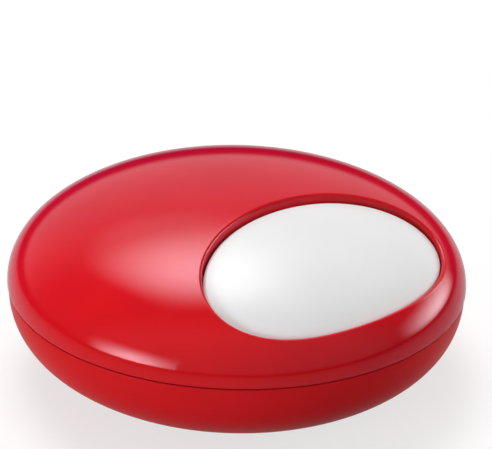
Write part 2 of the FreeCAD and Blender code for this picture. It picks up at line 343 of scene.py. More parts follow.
def post_mesh(name, x, y, end_z, root, material):
    """A screw post from end_z to the wall at height root(points), with its pilot hole."""
    angles = np.linspace(0, 2 * math.pi, POST_SIDES, endpoint=False)
    circle = np.stack([np.cos(angles), np.sin(angles)], 1)
    foot = np.array([x, y]) + POST_RADIUS * circle
    way = math.copysign(1.0, root(foot).mean() - end_z)
    rings = [np.column_stack([foot, root(foot)])]
    hole = SCREW_RADIUS + SCREW_CLEARANCE
    steps = [(POST_RADIUS, POST_CHAMFER), (POST_RADIUS - POST_CHAMFER, 0), (hole, 0), (hole, PILOT_DEPTH)]
    for radius, run in steps:
        points = np.array([x, y]) + radius * circle
        rings.append(np.column_stack([points, np.full(POST_SIDES, end_z + way * run)]))
    return grid_mesh(name, rings, material)


def hinge_barrel(name, x0, x1, bore, way, material):
    """A hinge barrel along X, with the web that ties it to its shell."""
    length = x1 - x0
    profile = [(0, BARREL_RADIUS - BARREL_CHAMFER), (BARREL_CHAMFER, BARREL_RADIUS)]
    profile += [(length - BARREL_CHAMFER, BARREL_RADIUS), (length, BARREL_RADIUS - BARREL_CHAMFER)]
    profile += [(length, bore), (0, bore)]
    barrel = turned_mesh(name, profile, (x0, HINGE_Y, HINGE_Z), 0, material, closed=True)
    z0, z1 = sorted(HINGE_Z + way * run for run in (BARREL_RADIUS / 2, NOTCH_REACH + WALL - WEB_SHORT))
    low_y = HINGE_Y - BARREL_RADIUS
    web = box_mesh(name, (x0, low_y, z0), (x1, low_y + WEB_DEPTH, z1), material, bevel=WEB_ROUND)
    return [barrel, web]


satin_red, satin_place, satin_feed = finish("satin_red_plastic")
satin_feed("Base Color", satin_place.mottled(38.0, 0.35, (0.62, 0.0110, 0.0155), (0.67, 0.0125, 0.0175)))
satin_feed("Roughness", satin_place.noise(900.0) * 0.08 + 0.28)
satin_feed("Normal", satin_place.noise(1500.0, 2.0).bump(0.03, 0.0003))
satin_feed("Specular IOR Level", 0.04)

angles = np.linspace(0, 2 * math.pi, 320, endpoint=False)
side = bowl_side(0.0, RIM_ROUND, BASE_DEPTH - UNDERSIDE_ROUND, 90)[::-1]
base_profile = [(r, UNDERSIDE_Z) for r in (*UNDERSIDE_RINGS, side[0][0] - UNDERSIDE_EDGE)] + side
rim_centre = np.array([BASE_RADIUS, SEAM_Z]) - RIM_ROUND
base_profile += [rim_centre + RIM_ROUND * np.array([math.cos(turn), math.sin(turn)]) for turn in QUARTER[1:]]
base_profile += [(LIP_OUTER, SEAM_Z), (LIP_OUTER, LIP_TOP - LIP_ROUND), (LIP_OUTER - LIP_ROUND, LIP_TOP)]
base_profile += [(LIP_INNER + LIP_ROUND, LIP_TOP), (LIP_INNER, LIP_TOP - LIP_ROUND)]
base_profile += [(LIP_INNER, SEAM_Z - WALL)] + bowl_side(WALL, WALL, BASE_DEPTH - WALL, 40)
base_mesh = grid_mesh("base_moulding", [circle_ring(r, z, angles) for r, z in base_profile], satin_red)
deck_screw_spots = polar(DECK_SCREW_RING, DECK_SCREW_ANGLES)
foot_spots = polar(FOOT_RING, FOOT_ANGLES)
notch_low = (-NOTCH_HALF, HINGE_Y - NOTCH_REACH, HINGE_Z - NOTCH_REACH)
base_cuts = [box_mesh("notch", notch_low, (NOTCH_HALF, FAR, FAR), satin_red)]
for x, y in foot_spots:
    pocket = [(run, FOOT_RADIUS + FOOT_CLEARANCE) for run in (0, FOOT_HEIGHT)]
    base_cuts.append(turned_mesh("pocket", pocket, (x, y, 0), 2, satin_red, around=72))
base_mesh = combine("base_moulding", base_mesh, "DIFFERENCE", base_cuts, satin_red)
base_extras = []
for x, y in deck_screw_spots:
    base_extras.append(post_mesh("post", x, y, DECK_BOTTOM, lambda p: bowl_z(p, WALL / 2), satin_red))
for x0 in (-EAR_END, EAR_END / 2):
    base_extras += hinge_barrel("ear", x0, x0 + EAR_END / 2, PIN_RADIUS + PIN_FIXED_CLEARANCE, -1, satin_red)
base_mesh = tidy_mesh(join("base_moulding", [base_mesh] + base_extras), satin_red)
show(base_mesh, "base", "red_case", "base_shell")

# Feet: four discs of soft black rubber, pressed into pockets in the base. Their
# undersides carry fine rings that grip the table.
FOOT_ROUND = 0.3
FOOT_RIDGE_PITCH = 1.0
FOOT_RIDGE_DEPTH = 0.22


def start_tree(name, sizes):
    """A Geometry Nodes tree with named sizes: the tree and its inputs."""
    tree = bpy.data.node_groups.new(name, "GeometryNodeTree")
    tree.interface.new_socket("Geometry", in_out="INPUT", socket_type="NodeSocketGeometry")
    tree.interface.new_socket("Geometry", in_out="OUTPUT", socket_type="NodeSocketGeometry")
    for size in sizes:
        tree.interface.new_socket(size, in_out="INPUT", socket_type="NodeSocketFloat")
    entry = tree.nodes.new("NodeGroupInput")
    return tree, {socket.name: Field(tree, socket) for socket in entry.outputs if socket.name}


def end_tree(shape, material):
    """Ends a tree: real geometry, with its material."""
    whole = shape.node("GeometryNodeRealizeInstances", None, {"Geometry": shape})
    whole = whole.node("GeometryNodeSetMaterial", None, {"Geometry": whole, "Material": material})
    shape.tree.links.new(whole.socket, shape.tree.nodes.new("NodeGroupOutput").inputs["Geometry"])


def grow(name, tree, sizes, points, edges, material):
    """Runs a tree on points and edges in millimetres and gives its result as a plain mesh."""
    seeds = bpy.data.meshes.new(name)
    seeds.from_pydata((np.array(points) * MM).tolist(), edges, [])
    maker = place(seeds)
    modifier = maker.modifiers.new(name, "NODES")
    modifier.node_group = tree
    for item in tree.interface.items_tree:
        if item.in_out == "INPUT" and item.name in sizes:
            modifier[item.identifier] = sizes[item.name]
    return tidy_mesh(evaluated_mesh(maker, name), material)


def rod_nodes(start, radius, depth, vertices, side_segments, fill_segments):
    """A cylinder with rings on its side and its ends, for Set Position to shape."""
    return start.node("GeometryNodeMeshCylinder", {"fill_type": "TRIANGLE_FAN"}, {
        "Vertices": vertices, "Side Segments": side_segments, "Fill Segments": fill_segments,
        "Radius": radius, "Depth": depth})


def shifted(shape, x, y, z):
    """A shape moved by an offset, which may vary over it."""
    return shape.node("GeometryNodeSetPosition", None, {"Geometry": shape, "Offset": shape.vector(x, y, z)})


def distances(shape):
    """Position nodes: x, y, z and the distance from the Z axis."""
    x, y, z = shape.node("GeometryNodeInputPosition").axes()
    return x, y, z, (x * x + y * y).maths("SQRT")


black_rubber, rubber_place, rubber_feed = finish("black_rubber")
rubber_feed("Base Color", rubber_place.mottled(260.0, 0.3, (0.018, 0.018, 0.019), (0.034, 0.033, 0.033)))
rubber_feed("Roughness", rubber_place.noise(700.0) * 0.2 + 0.62)
rubber_feed("Normal", rubber_place.noise(1600.0).bump(0.25, 0.0002))

foot_sizes = {"Foot Radius": FOOT_RADIUS * MM, "Foot Height": FOOT_HEIGHT * MM, "Rim Round": FOOT_ROUND * MM,
              "Ridge Pitch": FOOT_RIDGE_PITCH * MM, "Ridge Depth": FOOT_RIDGE_DEPTH * MM}
foot_tree, size = start_tree("foot_disc", foot_sizes)
disc = rod_nodes(size["Foot Radius"], size["Foot Radius"], size["Foot Height"], 72, 6, 40)
disc = shifted(disc, 0.0, 0.0, size["Foot Height"] * 0.5)
x, y, z, reach = distances(disc)
flat = size["Foot Radius"] - size["Rim Round"]
under = z < size["Foot Height"] * 0.05
ridge = 1.0 - (reach / size["Ridge Pitch"] * (2 * math.pi)).maths("COSINE")
ridge = ridge * size["Ridge Depth"] * 0.5 * (reach < flat - size["Rim Round"])
corner = (reach - flat).maths("MAXIMUM", 0.0)
drop = size["Rim Round"] * size["Rim Round"] - corner * corner
curl = size["Rim Round"] - drop.maths("MAXIMUM", 0.0).maths("SQRT")
disc = shifted(disc, 0.0, 0.0, under * (ridge + curl))
feet = disc.node("GeometryNodeInstanceOnPoints", None, {"Points": size["Geometry"], "Instance": disc})
end_tree(feet, black_rubber)
feet_mesh = grow("rubber_feet", foot_tree, foot_sizes, [(x, y, 0) for x, y in foot_spots], [], black_rubber)
show(feet_mesh, "base", "foot_rubber",
     "foot_front_left", "foot_front_right", "foot_rear_right", "foot_rear_left")

# Cradle: one white moulding with a finely textured matte face. A round deck closes
# the base, and its slotted fins are hollowed so that a boiled egg lies across them.
EGG_LENGTH = 62.0
EGG_DIAMETER = 45.0
EGG_ABOVE_WIRES = 1.0
POINTEDNESS = 0.015
WINDOW_Y = -38.45
HARP_LENGTH = 76.0
HARP_WIDTH = 46.5
HARP_SETBACK = 4.25
HARP_ABOVE_DECK = 2.0
HARP_Y = WINDOW_Y + HARP_SETBACK
HARP_BOTTOM = DECK_TOP + HARP_ABOVE_DECK
WIRE_COUNT = 11
WIRE_PITCH = 6.0
WIRE_ABOVE_HARP_FOOT = 2.0
WIRE_XS = [(i - (WIRE_COUNT - 1) / 2) * WIRE_PITCH for i in range(WIRE_COUNT)]
WIRE_Z = HARP_BOTTOM + WIRE_ABOVE_HARP_FOOT
EGG_AXIS_Z = WIRE_Z + EGG_ABOVE_WIRES + EGG_DIAMETER / 2
FIN_RISE = 7.0
FIN_TOP = WIRE_Z + EGG_ABOVE_WIRES + FIN_RISE
FIN_CLEARANCE = 1.6
FIN_END_TRIM = 0.02
FIN_ROOT = 0.5
FIN_STEPS = 60
FIN_CHAMFER = 0.3
SLOT_WIDTH = 1.6
DECK_ROUND = 0.4
DECK_CUT_Y = HINGE_Y - NOTCH_REACH - BARREL_CLEARANCE
OVERRUN = 1.0


def egg_outline(length, width, centre_y, turns):
    """Points of an egg-shaped outline in plan, and its outward directions."""
    x = length / 2 * np.cos(turns)
    y = width / 2 * np.sin(turns) * (1 - POINTEDNESS * np.cos(turns))
    run_x = -length / 2 * np.sin(turns)
    run_y = width / 2 * (np.cos(turns) - POINTEDNESS * np.cos(2 * turns))
    out = np.stack([run_y, -run_x], 1) / np.hypot(run_x, run_y)[:, None]
    return np.stack([x, y + centre_y], 1), out


def harp_edges(x, offset):
    """Front and rear of the harp's outline, moved out by offset, at x."""
    edges = []
    for turns in (np.linspace(-math.pi, 0, 4000), np.linspace(math.pi, 0, 4000)):
        points, out = egg_outline(HARP_LENGTH, HARP_WIDTH, HARP_Y, turns)
        points = points + offset * out
        edges.append(np.interp(x, points[:, 0], points[:, 1]))
    return edges


def fin_section(x, inset):
    """The cross-section of the fins at x, drawn in by inset at the top and sides."""
    front, rear = harp_edges(x, -FIN_CLEARANCE - inset)
    y = np.linspace(front, rear, FIN_STEPS)
    reach = (EGG_DIAMETER / 2) ** 2 * max(0.0, 1 - (2 * x / EGG_LENGTH) ** 2) - (y - HARP_Y) ** 2
    hollow = np.where(reach > 0, EGG_AXIS_Z - np.sqrt(np.maximum(reach, 0)), FIN_TOP)
    top = np.minimum(hollow, FIN_TOP) - inset
    chamfer = np.minimum(FIN_CHAMFER, (rear - front) / 4)
    top_y = np.linspace(front + chamfer, rear - chamfer, FIN_STEPS)
    top_z = np.interp(top_y, y, top)
    root_z = DECK_TOP - FIN_ROOT
    ys = [front, front, *top_y, rear, rear]
    zs = [root_z, top_z[0] - FIN_CHAMFER, *top_z, top_z[-1] - FIN_CHAMFER, root_z]
    return np.column_stack([np.full(len(ys), x), ys, zs])


def fin_mesh(x0, x1):
    """One fin between two slots."""
    xs = [x0, x0 + FIN_CHAMFER, *np.linspace(x0, x1, 9)[1:-1], x1 - FIN_CHAMFER, x1]
    insets = [FIN_CHAMFER] + [0.0] * (len(xs) - 2) + [FIN_CHAMFER]
    return grid_mesh("fin", [fin_section(x, inset) for x, inset in zip(xs, insets)], white_matte)


white_matte, matte_place, matte_feed = finish("matte_white_plastic")
matte_feed("Base Color", matte_place.mottled(45.0, 0.35, (0.78, 0.78, 0.765), (0.82, 0.82, 0.805)))
matte_feed("Roughness", matte_place.noise(800.0) * 0.12 + 0.38)
matte_feed("Normal", matte_place.noise(2200.0, 2.0).bump(0.12, 0.0002))

deck_profile = [(0, DECK_RADIUS - DECK_ROUND), (DECK_ROUND, DECK_RADIUS)]
for turn in np.linspace(0, math.pi / 2, 5):
    run = DECK_THICKNESS - DECK_ROUND + DECK_ROUND * math.sin(turn)
    deck_profile.append((run, DECK_RADIUS - DECK_ROUND + DECK_ROUND * math.cos(turn)))
deck_mesh = turned_mesh("deck", deck_profile, (0, 0, DECK_BOTTOM), 2, white_matte, around=240)
deck_cuts = [box_mesh("rear", (-FAR, DECK_CUT_Y, 0), (FAR, FAR, FAR), white_matte)]
for x, y in deck_screw_spots:
    hole = [(run, SCREW_RADIUS + SCREW_CLEARANCE) for run in (-OVERRUN, DECK_THICKNESS + OVERRUN)]
    deck_cuts.append(turned_mesh("hole", hole, (x, y, DECK_BOTTOM), 2, white_matte))
deck_mesh = combine("deck", deck_mesh, "DIFFERENCE", deck_cuts, white_matte)
fin_ends = HARP_LENGTH / 2 - FIN_CLEARANCE - FIN_END_TRIM
slot_edges = [-fin_ends] + [x + side * SLOT_WIDTH / 2 for x in WIRE_XS for side in (-1, 1)] + [fin_ends]
fins = [fin_mesh(x0, x1) for x0, x1 in zip(slot_edges[::2], slot_edges[1::2])]
cradle_mesh = combine("egg_cradle", deck_mesh, "UNION", fins, white_matte)
show(cradle_mesh, "base", "white_cradle", "cradle")

# Cradle screws: four bright steel pan-head screws with a cross recess, driven
# through the deck into the base's posts.
HEAD_RADIUS = 2.2
HEAD_HEIGHT = 1.4
HEAD_FALL = 0.38
THREAD_PITCH = 0.9
THREAD_DEPTH = 0.22
RECESS_WIDTH = 0.55
RECESS_DEPTH = 0.75
RECESS_SPAN = 1.15

bright_steel, steel_place, steel_feed = finish("bright_drawn_steel")
steel_feed("Base Color", steel_place.mottled(160.0, 0.3, (0.56, 0.56, 0.57), (0.67, 0.67, 0.68)))
steel_feed("Metallic", 1.0)
steel_feed("Roughness", steel_place.stretched(2600.0, 260.0, 2600.0).noise(1.0) * 0.16 + 0.16)

screw_sizes = {"Head Radius": HEAD_RADIUS * MM, "Head Height": HEAD_HEIGHT * MM,
               "Shank Radius": SCREW_RADIUS * MM, "Shank Length": (DECK_THICKNESS + SCREW_BITE) * MM,
               "Thread Pitch": THREAD_PITCH * MM, "Thread Depth": THREAD_DEPTH * MM,
               "Recess Width": RECESS_WIDTH * MM, "Recess Depth": RECESS_DEPTH * MM, "Turn": 0.0}
screw_tree, size = start_tree("pan_head_screw", screw_sizes)
head = rod_nodes(size["Turn"], size["Head Radius"], size["Head Height"], 48, 2, 10)
head = shifted(head, 0.0, 0.0, size["Head Height"] * 0.5)
x, y, z, reach = distances(head)
share = reach / size["Head Radius"]
head = shifted(head, 0.0, 0.0, z * share * share * -HEAD_FALL)
for long_side in (0, 1):
    spread = [size["Recess Width"], size["Recess Width"]]
    spread[long_side] = size["Head Radius"] * RECESS_SPAN
    bar = head.node("GeometryNodeMeshCube", None, {"Size": head.vector(*spread, size["Recess Depth"] * 2.0)})
    bar = bar.node("GeometryNodeTransform", None, {
        "Geometry": bar, "Translation": bar.vector(0.0, 0.0, size["Head Height"])})
    head = head.node("GeometryNodeMeshBoolean", {"operation": "DIFFERENCE", "solver": "EXACT"},
                     {0: head, 1: bar})
shank = rod_nodes(head, size["Shank Radius"], size["Shank Length"], 24, 96, 1)
x, y, z, reach = distances(shank)
turn = y.maths("ARCTAN2", x) / (2 * math.pi)
wave = (z / size["Thread Pitch"] - turn).maths("PINGPONG", 0.5) * 2.0
cut = size["Thread Depth"] * wave / size["Shank Radius"] * -1.0
shank = shifted(shank, x * cut, y * cut, size["Shank Length"] * -0.5)
joined = head.node("GeometryNodeJoinGeometry")
for solid in (head, shank):
    joined.tree.links.new(solid.socket, joined.socket.node.inputs[0])
screws = joined.node("GeometryNodeInstanceOnPoints", None, {
    "Points": size["Geometry"], "Instance": joined, "Rotation": joined.vector(size["Turn"], 0.0, 0.0)})
end_tree(screws, bright_steel)
spots = [(x, y, DECK_TOP) for x, y in deck_screw_spots]
screw_mesh = grow("deck_screws", screw_tree, screw_sizes, spots, [], bright_steel)
show(screw_mesh, "base", "steel", "cradle_screws")

# Lid shell: the upper half of the case, moulded in red plastic and polished. An
# egg-shaped window with a rolled edge opens near its front, with a collar and a
# ledge below it for the cap. Four posts inside carry the harp.
LID_Z = SEAM_Z + SEAM_GAP
LID_HEIGHT = 29.3
DOME_SPREAD = 2.12
DOME_FALL = 2.10
WINDOW_LENGTH = 80.4
WINDOW_WIDTH = 46.9
EDGE_ROUND = 0.8
LID_RIM_ROUND = 0.4
INNER_EDGE = 0.3
COLLAR_WALL = 2.0
CAP_RECESS = 2.3
CAP_WALL = 2.0
CAP_SEAT_CLEARANCE = 0.4
LEDGE_REACH = 1.5
LEDGE_THICKNESS = 1.5
LEDGE_TOP = CAP_RECESS + CAP_WALL + CAP_SEAT_CLEARANCE
LEDGE_BOTTOM = LEDGE_TOP + LEDGE_THICKNESS
HARP_BAR = 4.0
HARP_THICKNESS = 5.0
HARP_TOP = HARP_BOTTOM + HARP_THICKNESS
LUG_RADIUS = 4.0
END_LUG_OUTSET = 2.5
REAR_LUG_X = 18.0
REAR_LUG_OUTSET = 2.8
KNUCKLE_GAP = 0.4


def dome_z(points, inset=0.0):
    """Height of the lid's surface, drawn in by inset, over points in plan."""
    share = np.clip(np.hypot(*points.T) / (CASE_RADIUS - inset), 0, 1)
    return LID_Z + (LID_HEIGHT - inset) * (1 - share**DOME_SPREAD) ** (1 / DOME_FALL)


def dome_radius(rise, inset=0.0):
    """Radius at which the lid's surface, drawn in by inset, stands a given rise above its edge."""
    return (CASE_RADIUS - inset) * (1 - (rise / (LID_HEIGHT - inset)) ** DOME_FALL) ** (1 / DOME_SPREAD)


def rim_points(points, radius):
    """Where rays from the window's middle through the points meet a circle round the case."""
    ray = points - [0, WINDOW_Y]
    ray /= np.linalg.norm(ray, axis=1)[:, None]
    along = ray[:, 1] * WINDOW_Y
    reach = -along + np.sqrt(along**2 - WINDOW_Y**2 + radius**2)
    return [0, WINDOW_Y] + ray * reach[:, None]


def lift(points, z):
    """Points in plan, given their heights."""
    return np.column_stack([points, np.broadcast_to(z, len(points))])


def dome_slope(points, out, step=0.05):
    """The dome's rise per millimetre along the given directions."""
    return (dome_z(points + step * out) - dome_z(points - step * out)) / (2 * step)


red_plastic, red_place, red_feed = finish("polished_red_plastic")
red_feed("Base Color", red_place.mottled(38.0, 0.35, (0.62, 0.0060, 0.0080), (0.67, 0.0070, 0.0092)))
red_feed("Roughness", red_place.noise(900.0) * 0.05 + 0.05)
red_feed("Normal", red_place.noise(420.0, 2.0).bump(0.02, 0.0004))
red_feed("Specular IOR Level", 0.25)
red_feed("Specular Tint", (1.0, 0.86, 1.0, 1.0))
red_feed("Sheen Weight", 0.06)
red_feed("Sheen Tint", (0.3, 0.0, 1.0, 1.0))

turns = np.linspace(0, 2 * math.pi, 480, endpoint=False)
edge, out = egg_outline(WINDOW_LENGTH, WINDOW_WIDTH, WINDOW_Y, turns)
slope = dome_slope(edge, out)
tilt = np.sqrt(1 + slope**2)
round_z = dome_z(edge) + slope * EDGE_ROUND - EDGE_ROUND * tilt
last_turn = np.arctan2(1, -slope)
lid_rings = []
for share in np.linspace(0, 1, 9)[:-1]:
    turn = math.pi + (last_turn - math.pi) * share
    reach = EDGE_ROUND * (1 + np.cos(turn))
    lid_rings.append(lift(edge + reach[:, None] * out, round_z + EDGE_ROUND * np.sin(turn)))
start = edge + (EDGE_ROUND * (1 - slope / tilt))[:, None] * out
rim = rim_points(edge, dome_radius(LID_RIM_ROUND))
for share in np.linspace(0, 1, 91):
    points = start + (rim - start) * (1 - (1 - share) ** 2)
    lid_rings.append(lift(points, dome_z(points)))
spoke = rim / np.linalg.norm(rim, axis=1)[:, None]
for turn in QUARTER[1:]:
    reach = CASE_RADIUS - LID_RIM_ROUND + LID_RIM_ROUND * math.cos(turn)
    lid_rings.append(lift(spoke * reach, LID_Z + LID_RIM_ROUND - LID_RIM_ROUND * math.sin(turn)))
lid_rings.append(lift(spoke * (CASE_RADIUS - WALL + INNER_EDGE), LID_Z))
inner_rim = spoke * dome_radius(INNER_EDGE, WALL)
collar = edge + COLLAR_WALL * out
for share in np.linspace(0, 1, 41):
    points = inner_rim + (collar - inner_rim) * share**2
    lid_rings.append(lift(points, dome_z(points, WALL)))
ledge = edge - LEDGE_REACH * out
for points, depth in ((collar, LEDGE_BOTTOM), (ledge, LEDGE_BOTTOM), (ledge, LEDGE_TOP), (edge, LEDGE_TOP)):
    lid_rings.append(lift(points, dome_z(points) - depth))
lid_mesh = grid_mesh("lid_moulding", lid_rings, red_plastic, closed=True)
notch_high = (NOTCH_HALF, FAR, HINGE_Z + NOTCH_REACH)
notch = box_mesh("notch", (-NOTCH_HALF, HINGE_Y - NOTCH_REACH, 0), notch_high, red_plastic)
lid_mesh = combine("lid_moulding", lid_mesh, "DIFFERENCE", [notch], red_plastic)
end_lug = HARP_LENGTH / 2 + HARP_BAR + END_LUG_OUTSET
rear_lug_y = harp_edges(REAR_LUG_X, HARP_BAR)[1] + REAR_LUG_OUTSET
lug_spots = [(-end_lug, HARP_Y), (end_lug, HARP_Y), (-REAR_LUG_X, rear_lug_y), (REAR_LUG_X, rear_lug_y)]
knuckle_half = EAR_END / 2 - KNUCKLE_GAP
knuckle_bore = PIN_RADIUS + PIN_RUNNING_CLEARANCE
lid_extras = hinge_barrel("knuckle", -knuckle_half, knuckle_half, knuckle_bore, 1, red_plastic)
for x, y in lug_spots:
    lid_extras.append(post_mesh("post", x, y, HARP_TOP, lambda p: dome_z(p, WALL / 2), red_plastic))
lid_mesh = tidy_mesh(join("lid_moulding", [lid_mesh] + lid_extras), red_plastic)
show(lid_mesh, "lid", "red_case", "lid_shell")

# Hinge pin: a drawn steel rod with rounded ends, pressed into the base's two
# ears. The lid's knuckle turns on it.
PIN_ROUND = 0.35

pin_end = [(EAR_END - PIN_ROUND * (1 - math.sin(turn)), PIN_RADIUS - PIN_ROUND * (1 - math.cos(turn)))
           for turn in QUARTER]
pin_profile = [(-run, radius) for run, radius in pin_end[::-1]] + pin_end
pin_mesh = turned_mesh("steel_hinge_pin", pin_profile, (0, HINGE_Y, HINGE_Z), 0, bright_steel)
show(pin_mesh, "base", "steel", "hinge_pin")

# Harp frame: a ring of cast aluminium that keeps the wires tight, with four lugs
# that are screwed to the lid's posts and a small seat for each wire end.
HARP_ROUND = 0.9
LUG_FOOT_CHAMFER = 0.5
LUG_TOP_CHAMFER = 0.3
HEAD_CLEARANCE = 0.15
SEAT_DEPTH = HEAD_HEIGHT + HEAD_CLEARANCE
WIRE_RADIUS = 0.3
WIRE_CLEARANCE = 0.05
FERRULE_LENGTH = 1.6
FERRULE_RADIUS = 0.9
FERRULE_CLEARANCE = 0.1

cast_metal, cast_place, cast_feed = finish("cast_aluminium")
cast_feed("Base Color", cast_place.mottled(120.0, 0.3, (0.60, 0.61, 0.62), (0.72, 0.73, 0.74)))
cast_feed("Metallic", 1.0)
cast_feed("Roughness", cast_place.noise(600.0) * 0.2 + 0.28)
cast_feed("Normal", cast_place.noise(1300.0, 2.0).bump(0.15, 0.0003))

turns = np.linspace(0, 2 * math.pi, 360, endpoint=False)
harp_edge, harp_out = egg_outline(HARP_LENGTH, HARP_WIDTH, HARP_Y, turns)
harp_rings = []
for corner in range(4):
    across = HARP_BAR - HARP_ROUND if corner in (0, 3) else HARP_ROUND
    height = HARP_TOP - HARP_ROUND if corner in (0, 1) else HARP_BOTTOM + HARP_ROUND
    for turn in QUARTER + corner * math.pi / 2:
        points = harp_edge + (across + HARP_ROUND * math.cos(turn)) * harp_out
        harp_rings.append(lift(points, height + HARP_ROUND * math.sin(turn)))
harp_mesh = grid_mesh("wire_harp", harp_rings, cast_metal, closed=True)
lug_profile = [(0, LUG_RADIUS - LUG_FOOT_CHAMFER), (LUG_FOOT_CHAMFER, LUG_RADIUS)]
lug_profile += [(HARP_THICKNESS - LUG_TOP_CHAMFER, LUG_RADIUS)]
lug_profile += [(HARP_THICKNESS, LUG_RADIUS - LUG_TOP_CHAMFER)]
lugs = [turned_mesh("lug", lug_profile, (x, y, HARP_BOTTOM), 2, cast_metal) for x, y in lug_spots]
harp_mesh = combine("wire_harp", harp_mesh, "UNION", lugs, cast_metal)
head_space = [(run, HEAD_RADIUS + HEAD_CLEARANCE) for run in (-OVERRUN, SEAT_DEPTH)]
head_space += [(run, SCREW_RADIUS + SCREW_CLEARANCE) for run in (SEAT_DEPTH, HARP_THICKNESS + OVERRUN)]
harp_cuts = [turned_mesh("seat", head_space, (x, y, HARP_BOTTOM), 2, cast_metal) for x, y in lug_spots]
wire_ends = []
for x in WIRE_XS:
    front, rear = harp_edges(x, HARP_BAR)
    wire_ends += [(x, front, WIRE_Z), (x, rear, WIRE_Z)]
    for y, way in ((front, 1), (rear, -1)):
        pocket = [(run * way, FERRULE_RADIUS + FERRULE_CLEARANCE) for run in (-HARP_BAR / 2, FERRULE_LENGTH)]
        pocket += [(run * way, WIRE_RADIUS + WIRE_CLEARANCE) for run in (FERRULE_LENGTH, 2 * HARP_BAR)]
        harp_cuts.append(turned_mesh("pocket", pocket, (x, y, WIRE_Z), 1, cast_metal, around=24))
harp_mesh = combine("wire_harp", harp_mesh, "DIFFERENCE", harp_cuts, cast_metal)
show(harp_mesh, "lid", "cast_metal", "harp_frame")

# Cutting wires: eleven straight stainless steel wires, drawn tight across the harp
# and held at both ends by crimped ferrules.
wire_sizes = {"Wire Radius": WIRE_RADIUS * MM}
wire_tree, size = start_tree("drawn_wire", wire_sizes)
line = size["Geometry"].node("GeometryNodeMeshToCurve", None, {"Mesh": size["Geometry"]})
circle = line.node("GeometryNodeCurvePrimitiveCircle", None, {
    "Resolution": 20, "Radius": size["Wire Radius"]})
line = line.node("GeometryNodeCurveToMesh", None, {"Curve": line, "Profile Curve": circle, "Fill Caps": True})
end_tree(line, bright_steel)
pairs = [(i, i + 1) for i in range(0, len(wire_ends), 2)]
wire_mesh = grow("cutting_wires", wire_tree, wire_sizes, wire_ends, pairs, bright_steel)
show(wire_mesh, "lid", "steel", *(f"cutting_wire_{i:02d}" for i in range(1, WIRE_COUNT + 1)))

# Wire ferrules: short steel sleeves crimped on the wire ends, which pull against
# their seats in the harp.
FERRULE_CRIMP = 0.18
FERRULE_END_ROUND = 0.1
FERRULE_END_POWER = 12.0

ferrule_sizes = {"Sleeve Radius": FERRULE_RADIUS * MM, "Sleeve Length": FERRULE_LENGTH * MM,
                 "Crimp": FERRULE_CRIMP}
ferrule_tree, size = start_tree("crimped_sleeve", ferrule_sizes)
half_length = size["Sleeve Length"] * 0.5
sleeve = half_length.node("GeometryNodeCurvePrimitiveLine", None, {
    "Start": half_length.vector(0.0, half_length * -1.0, 0.0),
    "End": half_length.vector(0.0, half_length, 0.0)})
sleeve = sleeve.node("GeometryNodeResampleCurve", None, {"Curve": sleeve, "Count": 21})
along = sleeve.node("GeometryNodeSplineParameter")
waist = (along * math.pi).maths("SINE")
end_round = (along * 2.0 - 1.0).maths("ABSOLUTE").maths("POWER", FERRULE_END_POWER)
circle = sleeve.node("GeometryNodeCurvePrimitiveCircle", None, {
    "Resolution": 28, "Radius": size["Sleeve Radius"]})
sleeve = sleeve.node("GeometryNodeCurveToMesh", None, {
    "Curve": sleeve, "Profile Curve": circle, "Fill Caps": True,
    "Scale": 1.0 - size["Crimp"] * waist * waist - end_round * FERRULE_END_ROUND})
sleeves = sleeve.node("GeometryNodeInstanceOnPoints", None, {"Points": size["Geometry"], "Instance": sleeve})
end_tree(sleeves, bright_steel)
sleeve_spots = [(x, y + FERRULE_LENGTH / 2 * (1 if y < HARP_Y else -1), z) for x, y, z in wire_ends]
ferrule_mesh = grow("crimped_ferrules", ferrule_tree, ferrule_sizes, sleeve_spots, [], bright_steel)
show(ferrule_mesh, "lid", "steel", "wire_ferrules")

# Harp screws: four of the same pan-head screws, driven up through the harp's lugs
# into the lid's posts, with their heads sunk in the lugs.
harp_shank = HARP_THICKNESS - SEAT_DEPTH + SCREW_BITE
harp_screw_sizes = {**screw_sizes, "Shank Length": harp_shank * MM, "Turn": math.pi}
spots = [(x, y, HARP_BOTTOM + SEAT_DEPTH) for x, y in lug_spots]
harp_screw_mesh = grow("harp_fixing_screws", screw_tree, harp_screw_sizes, spots, [], bright_steel)
show(harp_screw_mesh, "lid", "steel", "harp_screws")

# Egg cap: a loose white dome, moulded with a satin gloss, that drops into the
# window and follows the lid's curve a little below its surface.
CAP_GAP = 0.35
CAP_ROUND = 1.2

white_plastic, white_place, white_feed = finish("satin_white_plastic")
white_feed("Base Color", white_place.mottled(30.0, 0.35, (0.81, 0.81, 0.81), (0.84, 0.84, 0.84)))
white_feed("Roughness", white_place.noise(700.0) * 0.08 + 0.2)
white_feed("Normal", white_place.noise(500.0, 2.0).bump(0.03, 0.0004))
white_feed("Specular IOR Level", 0.25)

cap_edge = edge - CAP_GAP * out
cap_slope = dome_slope(cap_edge, out)
cap_tilt = np.sqrt(1 + cap_slope**2)
cap_round_z = dome_z(cap_edge) - CAP_RECESS - cap_slope * CAP_ROUND - CAP_ROUND * cap_tilt
middle = np.array([0.0, WINDOW_Y])
cap_rings = []
cap_start = cap_edge - (CAP_ROUND * (1 + cap_slope / cap_tilt))[:, None] * out
for share in np.linspace(0, 1, 61):
    points = middle + (cap_start - middle) * share
    cap_rings.append(lift(points, dome_z(points) - CAP_RECESS))
first_turn = np.arctan2(1, -cap_slope)
for share in np.linspace(0, 1, 9)[1:]:
    turn = first_turn * (1 - share)
    reach = CAP_ROUND * (1 - np.cos(turn))
    cap_rings.append(lift(cap_edge - reach[:, None] * out, cap_round_z + CAP_ROUND * np.sin(turn)))
for share in np.linspace(1, 0, 31):
    points = middle + (cap_edge - middle) * share
    cap_rings.append(lift(points, dome_z(points) - CAP_RECESS - CAP_WALL))
